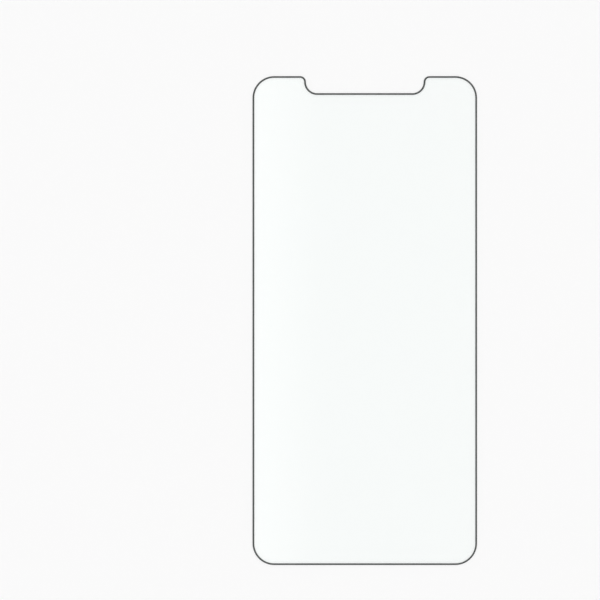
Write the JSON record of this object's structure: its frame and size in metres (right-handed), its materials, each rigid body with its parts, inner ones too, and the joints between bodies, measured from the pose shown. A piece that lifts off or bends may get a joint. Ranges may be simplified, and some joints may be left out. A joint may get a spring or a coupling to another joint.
{
  "type": "phone screen protector",
  "caption": "Flat clear sheet of tempered glass with rounded corners, a shallow notch in its top edge and a curved ground rim, stuck over a phone's screen to guard it.",
  "frame": {"origin": "middle of the back face, which lies on Z = 0", "axes": "+Z out of the front face, +Y along the sheet towards the notch, +X to the right seen from the front"},
  "size_m": [0.062, 0.135, 0.0003],
  "materials": {
    "clear_glass": "polished, with a finely ground rim"
  },
  "bodies": {
    "root": {"protector_glass": "clear_glass"}
  },
  "joints": []
}
